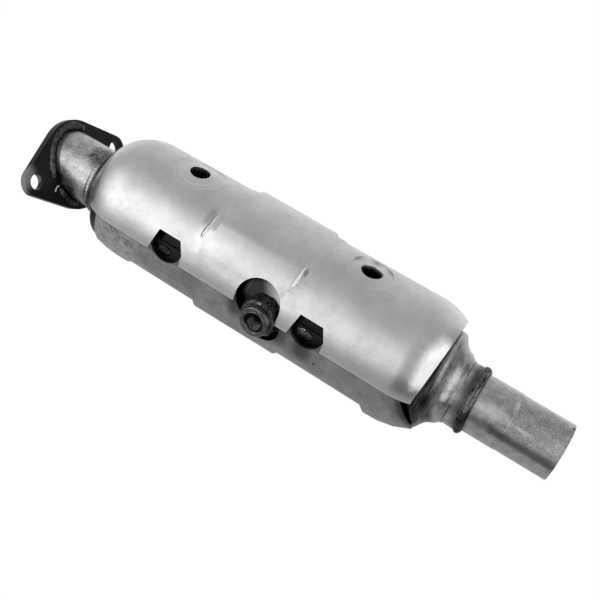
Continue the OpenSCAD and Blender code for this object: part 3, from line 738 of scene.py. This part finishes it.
def hollow_cone(bm):
    """Draws the outlet cone in between shoulder and neck, and flares the neck a little to its weld."""
    for i in range(CONE_CUTS):
        cut = CONE_START + (CONE_END - CONE_START)*(i + 0.5)/CONE_CUTS
        bmesh.ops.bisect_plane(bm, geom=bm.verts[:] + bm.edges[:] + bm.faces[:], dist=MERGE/5,
                               plane_co=(cut, 0, 0), plane_no=(1, 0, 0))
    for v in bm.verts:
        flat = Vector((0, v.co.y, v.co.z))
        if CONE_START < v.co.x < CONE_END:
            share = (v.co.x - CONE_START)/(CONE_END - CONE_START)
            v.co -= flat.normalized()*CONE_HOLLOW*math.sin(math.pi*share)**2
        elif v.co.x >= CONE_END and flat.length > 20*MM:
            share = min((v.co.x - CONE_END)/NECK_FLARE_LEN, 1)
            v.co += flat.normalized()*NECK_FLARE*share*share


def pressed_copy(node, name, slot, material, sharp_deg=50, reshape=None):
    """The CAD node's own form, with its loose triangles joined and shaded smoothly."""
    bm = bmesh.new()
    bm.from_mesh(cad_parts[node].data)
    bmesh.ops.remove_doubles(bm, verts=bm.verts, dist=MERGE)
    if reshape:
        reshape(bm)
    smooth_faces(bm, sharp_deg)
    piece = finish_piece(bm, name, slot, material, node)
    even = piece.modifiers.new("even_shading", "WEIGHTED_NORMAL")
    even.keep_sharp = True
    return piece


def chain(bm, points, closed=True):
    """A line of vertices through the points, as vertices and edges for spin."""
    made = [bm.verts.new(p) for p in points]
    pairs = list(zip(made, made[1:])) + ([(made[-1], made[0])] if closed else [])
    edges = [bm.edges.new(pair) for pair in pairs]
    return made + edges


def spun(points, axis, turns, angle=2*math.pi):
    """A profile spun round an axis through the origin."""
    bm = bmesh.new()
    geom = chain(bm, points)
    full = angle > 6.28
    bmesh.ops.spin(bm, geom=geom, cent=(0, 0, 0), axis=axis, dvec=(0, 0, 0), angle=angle,
                   steps=turns, use_merge=full, use_duplicate=False)
    bmesh.ops.remove_doubles(bm, verts=bm.verts, dist=MERGE)
    bmesh.ops.recalc_face_normals(bm, faces=bm.faces)
    return bm


def bead_profile(width, height, sink, count=12):
    """Half-round outline of a bead as (along, up) pairs, with its foot sunk in the metal."""
    crown = [(-width/2*math.cos(math.pi*i/count), height*math.sin(math.pi*i/count))
             for i in range(count + 1)]
    return crown + [(width/2*0.8, -sink), (-width/2*0.8, -sink)]


def ripple(turn, across, pitch_turn, depth):
    """Height that the ripples and lumps of a bead add, at a turn round it and -1..1 across it."""
    phase = turn/pitch_turn + 0.55*across*across
    scallop = 1 - (phase - math.floor(phase))
    return depth*(scallop*(1 - 0.4*across*across) - 0.5)


def ring_bead(name, node, material, x, r, width, height, pitch, depth, lump, sag=0):
    """Ring weld round a pipe: ripples, lumps and uneven width, and a sag along the pipe below."""
    points = [(x + a, 0, r + u) for a, u in bead_profile(width, height, 0.9*MM)]
    bm = spun(points, (1, 0, 0), 420)
    for v in bm.verts:
        out = Vector((0, v.co.y, v.co.z))
        up = out.length - r
        if up > 0.05*MM:
            turn = math.atan2(v.co.y, v.co.z)
            across = (v.co.x - x)/(width/2)
            rise = ripple(turn, across, pitch/r, depth)
            rise += lump*noise.noise(Vector((turn*r/(9*MM), across*0.6, 4.2)))
            share = min(up/(0.35*height), 1)
            v.co += out.normalized()*rise*share
            v.co.x += 0.6*MM*noise.noise(Vector((turn*r/(7*MM), 1.5, across)))
        if out.length > r - 0.5*MM:
            v.co.x += sag*(0.5 - 0.5*v.co.z/out.length)
    smooth_faces(bm, 70)
    return finish_piece(bm, name, "ring_weld", material, node)


def on_flange():
    """From the plate's own frame, Z out of its near face and X along the bolt line, to the part's."""
    turn = Matrix.Rotation(FLANGE_SWING, 4, "Z") @ Matrix.Rotation(-FLANGE_TILT, 4, "Y")
    lie = Matrix.Rotation(math.pi/2, 4, "Z") @ Matrix.Rotation(math.pi/2, 4, "X")
    return Matrix.Translation((FLANGE_NEAR_X, 0, 0)) @ turn @ lie


def flange_bead(name, node, material, start_deg, end_deg, seed):
    """Bead on the oval line where the pipe leaves the plate."""
    r = INLET_R + 2.5*MM
    half = 3.7*MM
    span = math.radians(end_deg - start_deg)
    start = math.radians(start_deg)
    turns = max(int(span*r/(0.45*MM)), 24)
    circle = [(r + half*math.cos(2*math.pi*i/16), 0, half*0.72*math.sin(2*math.pi*i/16))
              for i in range(16)]
    bm = bmesh.new()
    geom = chain(bm, circle)
    bmesh.ops.rotate(bm, verts=bm.verts, cent=(0, 0, 0), matrix=Matrix.Rotation(start, 3, "Z"))
    bmesh.ops.spin(bm, geom=geom, cent=(0, 0, 0), axis=(0, 0, 1), dvec=(0, 0, 0), angle=span,
                   steps=turns, use_merge=False, use_duplicate=False)
    bmesh.ops.remove_doubles(bm, verts=bm.verts, dist=MERGE)
    bmesh.ops.holes_fill(bm, edges=bm.edges, sides=0)
    bmesh.ops.recalc_face_normals(bm, faces=bm.faces)
    for v in bm.verts:
        turn = math.atan2(v.co.y, v.co.x)
        done = (turn - start) % (2*math.pi)
        done = min(done, span) if done < math.pi*1.5 else 0
        middle = Vector((r*math.cos(turn), r*math.sin(turn), 0))
        out = v.co - middle
        across = (Vector((v.co.x, v.co.y)).length - r)/half
        end = min(done, span - done)*r/(5*MM)
        taper = math.sqrt(max(1 - (1 - min(end, 1))**2, 0.0))*0.9 + 0.1
        rise = ripple(done, across, 3.1*MM/r, 0.6*MM)
        rise += 1.2*MM*noise.noise(Vector((done*r/(7*MM), across*0.8, seed)))
        rise += 0.5*MM*noise.noise(Vector((done*r/(1.8*MM), across*2.5, seed)))
        v.co = middle + out*taper*(1 + rise/half)
    bmesh.ops.scale(bm, vec=(1, 1/math.cos(FLANGE_TILT), 1), verts=bm.verts)
    bmesh.ops.transform(bm, matrix=on_flange(), verts=bm.verts)
    bmesh.ops.recalc_face_normals(bm, faces=bm.faces)
    smooth_faces(bm, 70)
    return finish_piece(bm, name, "flange_weld", material, node)


def bung_bead(material):
    """Thick uneven weld that climbs the side of the bung from the saddle of the body."""
    profile = [(-0.8, -1.5), (4.6, -1.5), (4.4, 1.0), (4.0, 2.6), (3.5, 5.0), (3.2, 8.0), (2.9, 10.5),
               (2.2, 12.8), (1.2, 14.0), (-0.8, 14.2)]
    bm = spun([(BUNG_R + a*MM, u*MM, 0) for a, u in profile], (0, 1, 0), 240)
    climbing = [e for e in bm.edges if abs(e.verts[0].co.y - e.verts[1].co.y) > 1.2*MM]
    bmesh.ops.subdivide_edges(bm, edges=climbing, cuts=2, use_grid_fill=True)
    for v in bm.verts:
        flat = Vector((v.co.x, 0, v.co.z))
        climb = v.co.y
        if flat.length > BUNG_R:
            turn = math.atan2(v.co.z, v.co.x)
            lump = noise.noise(Vector((turn*2.6, climb/(5*MM), 9.3)))
            fine = noise.noise(Vector((turn*8, climb/(1.8*MM), 2.1)))
            v.co += flat.normalized()*(1.3*lump + 0.5*fine)*MM
            v.co.y += 1.0*MM*noise.noise(Vector((turn*3, 4.4, 0)))
        v.co.y = -math.sqrt(BODY_R**2 - v.co.z**2) - v.co.y
    bmesh.ops.translate(bm, verts=bm.verts, vec=(BUNG_X, 0, 0))
    bmesh.ops.recalc_face_normals(bm, faces=bm.faces)
    smooth_faces(bm, 70)
    return finish_piece(bm, "bung_weld_bead", "ring_weld", material, "bung_weld")


def threaded_bung(material):
    """The turned bung: chamfered rims, a face groove and the thread's own rings."""
    foot = 48.4*MM
    face = BUNG_REACH
    points = [(BUNG_R, foot), (BUNG_R, face - 4.4*MM), (BUNG_R - 0.5*MM, face - 4*MM),
              (BUNG_R - 0.5*MM, face - 3.4*MM), (BUNG_R, face - 3*MM), (BUNG_R, face - 1.1*MM),
              (BUNG_R - 0.3*MM, face - 0.5*MM), (BUNG_R - 1.2*MM, face),
              (11.6*MM, face), (11.1*MM, face - 0.35*MM), (10.5*MM, face - 0.4*MM),
              (10.1*MM, face - 0.1*MM), (THREAD_R + 0.3*MM, face - 1.6*MM)]
    y = face - 2*MM
    while y > foot + 1.6*MM:
        points += [(THREAD_CORE_R, y), (THREAD_CORE_R, y - 0.25*THREAD_PITCH),
                   (THREAD_R - 0.05*MM, y - 0.55*THREAD_PITCH),
                   (THREAD_R - 0.05*MM, y - 0.7*THREAD_PITCH)]
        y -= THREAD_PITCH
    points += [(THREAD_CORE_R, foot)]
    bm = spun([(r, -up, 0) for r, up in points], (0, 1, 0), 96)
    bmesh.ops.translate(bm, verts=bm.verts, vec=(BUNG_X, 0, 0))
    smooth_faces(bm, 28)
    return finish_piece(bm, "sensor_bung_turned", "bung_steel", material, "sensor_bung")


def outlet_pipe(material):
    """The outlet pipe with its sized end, a soft step and broken edges."""
    inner = SIZED_R - PIPE_WALL
    points = [(PIPE_START, inner), (PIPE_START, OUTLET_R), (SIZED_X - 1.2*MM, OUTLET_R),
              (SIZED_X - 0.6*MM, OUTLET_R - 0.08*MM), (SIZED_X + 0.4*MM, SIZED_R + 0.06*MM),
              (SIZED_X + 1.2*MM, SIZED_R), (PIPE_END - 0.35*MM, SIZED_R),
              (PIPE_END - 0.1*MM, SIZED_R - 0.1*MM), (PIPE_END, SIZED_R - 0.35*MM),
              (PIPE_END, inner + 0.3*MM), (PIPE_END - 0.3*MM, inner)]
    bm = spun([(x, 0, r) for x, r in points], (1, 0, 0), 128)
    smooth_faces(bm, 40)
    return finish_piece(bm, "outlet_pipe_tube", "outlet_steel", material, "outlet_pipe")


def plug_weld(name, x, seed, material, node):
    """Rough weld that fills the hole in a cup's floor."""
    bm = bmesh.new()
    bmesh.ops.create_icosphere(bm, subdivisions=5, radius=1)
    for v in bm.verts:
        lump = 1 + 0.30*noise.noise(v.co*1.9 + Vector((seed, 0, 0)))
        lump += 0.16*noise.noise(v.co*5 + Vector((seed, 3, 0)))
        hollow = 1 - 0.45*math.exp(-(v.co.x**2 + v.co.y**2)*7)
        v.co = Vector((v.co.x*7.4*MM*lump, v.co.y*7.4*MM*lump, v.co.z*3.6*MM*lump*hollow))
    bmesh.ops.translate(bm, verts=bm.verts, vec=(x, 0, BODY_R + 0.6*MM))
    bmesh.ops.recalc_face_normals(bm, faces=bm.faces)
    smooth_faces(bm, 80)
    return finish_piece(bm, name, "plug_weld", material, node)


def tack_nugget(node, material, x, side, seed, length, width):
    """Flat oval weld nugget on a tab, through to the body."""
    bm = bmesh.new()
    bmesh.ops.create_icosphere(bm, subdivisions=4, radius=1)
    for v in bm.verts:
        lump = 1 + 0.2*noise.noise(v.co*2.2 + Vector((seed, 0, 0)))
        lump += 0.08*noise.noise(v.co*6 + Vector((0, seed, 0)))
        v.co = Vector((v.co.x*length/2, v.co.y*1.9*MM, v.co.z*width/2))*lump
    lean = math.asin(TACK_Z/SEAT_R)
    bmesh.ops.rotate(bm, verts=bm.verts, cent=(0, 0, 0), matrix=Matrix.Rotation(side*lean, 3, "X"))
    bmesh.ops.translate(bm, verts=bm.verts, vec=(x, -side*SEAT_R*math.cos(lean), TACK_Z))
    bmesh.ops.recalc_face_normals(bm, faces=bm.faces)
    smooth_faces(bm, 80)
    return finish_piece(bm, node + "_nugget", "tack_weld", material, node)


def dress_node(node, material):
    """A CAD node that stays keeps its mesh and gets its own finish."""
    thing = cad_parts[node]
    if thing.material_slots:
        for slot in thing.material_slots:
            slot.material = material
    else:
        thing.data.materials.append(material)


def build_pieces():
    pressed_copy("inlet_flange", "inlet_flange_plate", "flange_black", satin_black(), 35)
    pressed_copy("inlet_pipe", "inlet_pipe_tube", "inlet_steel", inlet_steel(), 40)
    pressed_copy("body_shell", "body_shell_tube", "body_steel", body_steel(), 40, hollow_cone)
    sheet = bright_sheet()
    pressed_copy("upper_shield", "upper_shield_sheet", "shield_bright", sheet, 50, ease_dishes)
    pressed_dart(crease_highlight_sheet())
    pressed_copy("lower_shield", "lower_shield_sheet", "shield_grey", grey_sheet())
    flange_weld = flange_weld_scale()
    flange_bead("flange_weld_long_bead", "flange_weld_long", flange_weld,
                start_deg=52, end_deg=186, seed=2.7)
    flange_bead("flange_weld_short_bead", "flange_weld_short", flange_weld,
                start_deg=203, end_deg=250, seed=5.9)
    ring_bead("inlet_weld_bead", "inlet_weld", inlet_ring_steel(), INLET_WELD_X, INLET_R,
              width=9*MM, height=1.5*MM, pitch=3.4*MM, depth=0.35*MM, lump=0.5*MM)
    ring_bead("outlet_weld_bead", "outlet_weld", outlet_ring_scale(), OUTLET_WELD_X, OUTLET_R,
              width=9.5*MM, height=4.2*MM, pitch=3.6*MM, depth=0.5*MM, lump=1.5*MM, sag=3*MM)
    bung_bead(bung_weld_scale())
    threaded_bung(turned_steel())
    outlet_pipe(outlet_steel())
    scale = plug_scale()
    plug_weld("front_plug_weld_lump", CUP_PLACES[0], 1.3, scale, "front_plug_weld")
    plug_weld("rear_plug_weld_lump", CUP_PLACES[1], 6.1, scale, "rear_plug_weld")
    nugget = tack_scale()
    for node, side, seed in (("near_front_tack", 1, 2), ("far_front_tack", -1, 6)):
        tack_nugget(node, nugget, FRONT_TACK_X, side, seed, length=17*MM, width=10*MM)
    for node, side, seed in (("near_rear_tack", 1, 4), ("far_rear_tack", -1, 8)):
        tack_nugget(node, nugget, REAR_TACK_X, side, seed, length=20*MM, width=12.5*MM)
    ceramic = brick_ceramic()
    fibre = mat_fibre()
    wire = seal_wire()
    for end in ("front", "rear"):
        dress_node(end + "_brick", ceramic)
        dress_node(end + "_mat", fibre)
        dress_node(end + "_mat_inlet_seal", wire)
        dress_node(end + "_mat_outlet_seal", wire)


# Stage

def studio_piece(bm, name, material):
    mesh = bpy.data.meshes.new(name)
    bm.to_mesh(mesh)
    bm.free()
    piece = bpy.data.objects.new(name, mesh)
    bpy.context.scene.collection.objects.link(piece)
    mesh.materials.append(material)
    piece.visible_glossy = False
    return piece


def studio_white():
    material = bpy.data.materials.new("studio_white")
    material.use_nodes = True
    shader = material.node_tree.nodes["Principled BSDF"]
    shader.inputs["Base Color"].default_value = (0.02, 0.02, 0.02, 1)
    shader.inputs["Roughness"].default_value = 1
    shader.inputs["Specular IOR Level"].default_value = 0
    shader.inputs["Emission Color"].default_value = (1, 1, 1, 1)
    shader.inputs["Emission Strength"].default_value = 1
    return material


def build_floor():
    """A white floor, and a white wall far round it that only the camera sees."""
    white = studio_white()
    bm = bmesh.new()
    bmesh.ops.create_grid(bm, x_segments=1, y_segments=1, size=FLOOR_HALF)
    bmesh.ops.translate(bm, verts=bm.verts, vec=(FLOOR_X, 0, cad_box[0][2] - FLOOR_DROP))
    studio_piece(bm, "studio_floor", white)
    bm = bmesh.new()
    bmesh.ops.create_icosphere(bm, subdivisions=4, radius=STUDIO_R)
    bmesh.ops.reverse_faces(bm, faces=bm.faces)
    wall = studio_piece(bm, "studio_wall", white)
    wall.visible_diffuse = False
    wall.visible_transmission = False
    wall.visible_shadow = False


def room_axis(tree, look, axis):
    """How far a view into the room points along one axis, from 0 to 1."""
    parts = tree.nodes.new("ShaderNodeSeparateXYZ")
    tree.links.new(look, parts.inputs["Vector"])
    spread = tree.nodes.new("ShaderNodeMapRange")
    tree.links.new(parts.outputs[axis], spread.inputs["Value"])
    spread.inputs["From Min"].default_value = -1
    return spread.outputs["Result"]


def build_world():
    """A pale room: a long soft box before the part, one at its outlet end and a bright back wall."""
    world = bpy.data.worlds.new("studio_room")
    bpy.context.scene.world = world
    world.use_nodes = True
    tree = world.node_tree
    look = tree.nodes.new("ShaderNodeTexCoord").outputs["Generated"]
    side, back, height = (room_axis(tree, look, axis) for axis in "XYZ")
    front_wall = steps(tree, height, [(0.0, 0.48), (0.18, 0.40), (0.30, 0.10), (0.42, 0.08), (0.56, 0.34),
                                      (0.8, 0.42), (1.0, 0.43)])
    back_wall = steps(tree, height, [(0.0, 0.48), (0.3, 0.70), (0.45, 0.90), (0.6, 0.76), (0.75, 0.64),
                                     (0.9, 0.54), (1.0, 0.43)])
    walls = blend(tree, steps(tree, back, [(0.45, 0.0), (0.8, 1.0)]), front_wall, back_wall)
    corner = both(tree, steps(tree, side, [(0.70, 0.0), (0.82, 1.0)]),
                  steps(tree, back, [(0.60, 0.0), (0.74, 1.0)]))
    walls = blend(tree, corner, walls, 0.26)
    wide = steps(tree, side, [(0.04, 0.4), (0.16, 0.95), (0.29, 1.0), (0.36, 0.75), (0.44, 0.42),
                              (0.53, 0.06), (1.0, 0.0)])
    tall = steps(tree, height, [(0.20, 0.0), (0.34, 0.35), (0.46, 0.95), (0.62, 1.0), (0.75, 0.85),
                                (0.86, 0.3), (0.95, 0.0)])
    before = steps(tree, back, [(0.28, 1.0), (0.52, 0.0)])
    long_box = both(tree, both(tree, wide, tall), before)
    tone = blend(tree, long_box, walls, 1.65)
    end_box = both(tree, steps(tree, side, [(0.69, 0.0), (0.77, 1.0), (0.88, 0.9), (0.96, 0.3)]),
                   steps(tree, height, [(0.34, 0.0), (0.44, 0.9), (0.88, 1.0), (0.95, 0.0)]))
    end_box = both(tree, end_box, steps(tree, back, [(0.54, 1.0), (0.66, 0.0)]))
    tone = blend(tree, end_box, tone, 1.45)
    tree.links.new(tone, tree.nodes["Background"].inputs["Color"])
    tree.nodes["Background"].inputs["Strength"].default_value = 1


def build_camera():
    """The camera that the photo was taken with, as fitted to the object's outlines."""
    base = Matrix(((1, 0, 0), (0, 0, -1), (0, 1, 0)))
    turn = Matrix.Rotation(PHOTO_ROLL, 3, "Z") @ Matrix.Rotation(PHOTO_YAW, 3, "Y")
    turn = turn @ Matrix.Rotation(PHOTO_RISE, 3, "X") @ base
    flip = Matrix(((1, 0, 0), (0, -1, 0), (0, 0, -1)))
    stand = turn.transposed() @ flip
    data = bpy.data.cameras.new("photo_camera")
    data.sensor_width = 36
    data.lens = PHOTO_LENS
    camera = bpy.data.objects.new("photo_camera", data)
    bpy.context.scene.collection.objects.link(camera)
    camera.matrix_world = Matrix.Translation(PHOTO_PLACE) @ stand.to_4x4()
    bpy.context.scene.camera = camera


build_pieces()
build_floor()
build_world()
build_camera()
bpy.context.scene.view_settings.view_transform = "Standard"
